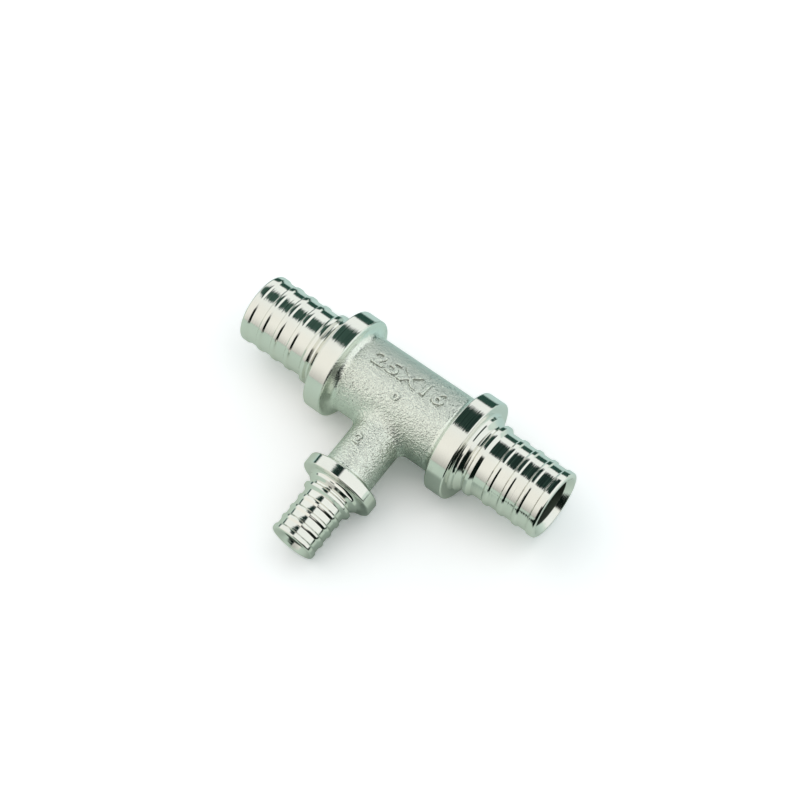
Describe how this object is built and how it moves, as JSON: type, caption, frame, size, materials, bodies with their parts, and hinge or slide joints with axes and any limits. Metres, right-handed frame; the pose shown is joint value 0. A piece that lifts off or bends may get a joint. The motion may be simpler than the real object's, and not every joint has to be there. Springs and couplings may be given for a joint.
{
  "type": "pipe tee",
  "caption": "Nickel-plated brass reducing pipe tee: collared, ribbed push-on spigots at both ends of the run and a smaller spigot on the branch.",
  "frame": {"origin": "where the axes of the run and the branch cross", "axes": "+X along the run, -Y along the branch towards its end, +Z square to both"},
  "size_m": [0.1002, 0.0649, 0.0306],
  "materials": {
    "nickel_plated_brass": "nickel plated: matt and blasted on the forged body, bright and finely turned on the spigots and collars"
  },
  "bodies": {
    "root": {"tee_body": "nickel_plated_brass"}
  },
  "joints": []
}
